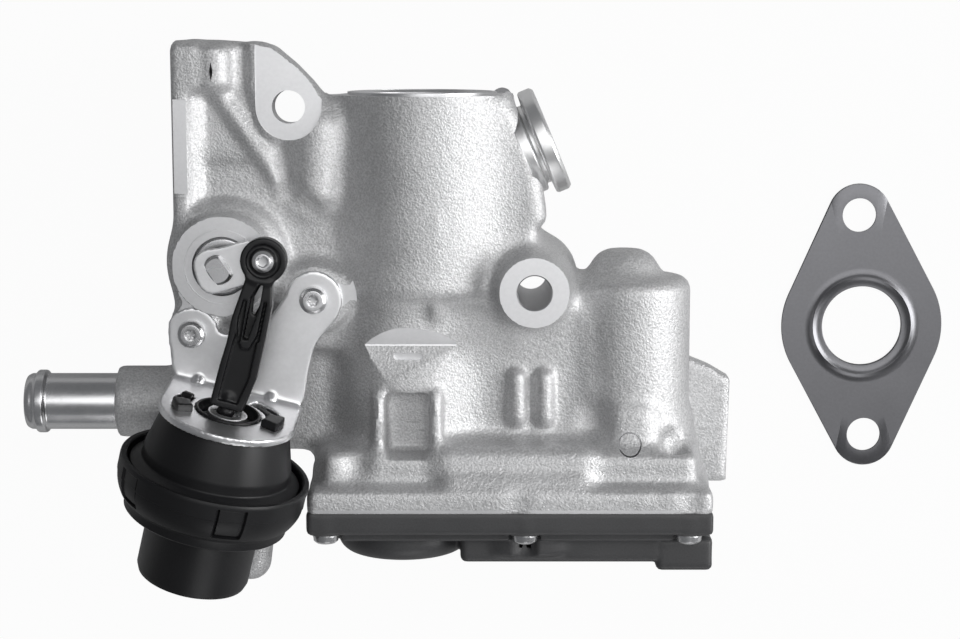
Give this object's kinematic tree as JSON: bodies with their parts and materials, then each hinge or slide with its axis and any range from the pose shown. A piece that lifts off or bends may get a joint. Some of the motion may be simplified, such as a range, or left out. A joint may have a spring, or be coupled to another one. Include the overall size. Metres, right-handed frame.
{
  "type": "exhaust gas recirculation valve",
  "caption": "Cast exhaust gas recirculation valve with motor-driven poppet, vacuum-worked cooler bypass flap, coolant nipple, plug cover and flange gasket.",
  "frame": {"origin": "centre of the rear gas port in the plane of the rear flange face", "axes": "+Z out of the front, away from the rear flange; +Y up the valve stem to the top port; +X to the motor side"},
  "size_m": [0.274, 0.1685, 0.1059],
  "materials": {
    "cast_aluminium": "sand-cast skin with machined faces",
    "turned_aluminium": "turned, bright",
    "valve_steel": "turned heat-resistant steel",
    "pin_steel": "ground",
    "pipe_steel": "plated, satin",
    "zinc_sheet": "bright zinc-plated sheet",
    "zinc_screw": "zinc-plated",
    "bush_bronze": "sintered bronze",
    "contact_brass": "bright",
    "seal_rubber": "moulded rubber",
    "black_plastic": "glass-filled, satin",
    "cover_plastic": "glass-filled, satin",
    "inner_plastic": "moulded",
    "gear_plastic": "natural moulded",
    "magnet_dark": "sintered",
    "gasket_steel": "coated embossed steel sheet"
  },
  "bodies": {
    "valve_body": {"housing": "cast_aluminium", "valve_seat": "valve_steel", "stem_guide": "bush_bronze", "stem_seal": "seal_rubber", "flap_bushes": "bush_bronze", "flap_seal": "seal_rubber", "coolant_nipple": "pipe_steel", "outlet_spigot": "turned_aluminium", "bracket": "zinc_sheet", "bracket_screws": "zinc_screw", "gear_cover": "cover_plastic", "cover_seal": "seal_rubber", "cover_screws": "zinc_screw", "connector_pins": "contact_brass", "sensor_ring": "inner_plastic", "idler_axle": "pin_steel", "motor_can": "pipe_steel", "motor_end_plate": "pipe_steel", "return_spring": "pin_steel", "actuator_upper_shell": "black_plastic", "actuator_lower_shell": "black_plastic", "diaphragm": "seal_rubber", "actuator_spring": "pin_steel", "flange_gasket": "gasket_steel"},
    "rotor": {"motor_rotor": "magnet_dark", "motor_pinion": "contact_brass"},
    "idler": {"idler_gear": "gear_plastic"},
    "sector": {"sector_gear": "gear_plastic", "magnet_ring": "magnet_dark"},
    "valve": {"valve_stem": "valve_steel", "valve_disc": "valve_steel"},
    "flap": {"flap_shaft": "valve_steel", "flap_plate": "valve_steel", "flap_lever": "zinc_sheet", "lever_pin": "pin_steel"},
    "link": {"link_rod": "black_plastic"},
    "plunger": {"plunger": "black_plastic", "diaphragm_piston": "zinc_sheet"}
  },
  "joints": [
    {"name": "rotor_turn", "type": "hinge", "parent": "valve_body", "child": "rotor", "pos_m": [0.0637, -0.05, 0.046], "axis": [0, 1, 0], "range_deg": [0, 696.53]},
    {"name": "idler_turn", "type": "hinge", "parent": "valve_body", "child": "idler", "pos_m": [0.03463, -0.05, 0.04095], "axis": [0, 1, 0], "range_deg": [-216.77, 0]},
    {"name": "sector_turn", "type": "hinge", "parent": "valve_body", "child": "sector", "pos_m": [0, -0.05, 0.046], "axis": [0, 1, 0], "range_deg": [0, 75.02], "deforming": ["return_spring"]},
    {"name": "valve_lift", "type": "slide", "parent": "valve_body", "child": "valve", "axis": [0, 1, 0], "range_m": [0, 0.008]},
    {"name": "flap_turn", "type": "hinge", "parent": "valve_body", "child": "flap", "pos_m": [-0.0502, 0.0177, 0.06], "axis": [0, 0, 1], "range_deg": [-50.05, 0]},
    {"name": "link_turn", "type": "hinge", "parent": "flap", "child": "link", "pos_m": [-0.03752, 0.02056, 0.0815], "axis": [0, 0, 1], "range_deg": [0, 50.05]},
    {"name": "plunger_slide", "type": "slide", "parent": "valve_body", "child": "plunger", "axis": [0.2393, 0.9596, 0.1478], "range_m": [-0.0111, 0], "deforming": ["actuator_spring", "diaphragm"]}
  ],
  "couplings": [
    {"joint": "rotor_turn", "follows": "valve_lift", "rad_per_m": 1519.4},
    {"joint": "idler_turn", "follows": "valve_lift", "rad_per_m": -472.69},
    {"joint": "sector_turn", "follows": "valve_lift", "rad_per_m": 163.62},
    {"joint": "flap_turn", "follows": "plunger_slide", "rad_per_m": 78.618},
    {"joint": "link_turn", "follows": "plunger_slide", "rad_per_m": -78.618}
  ]
}
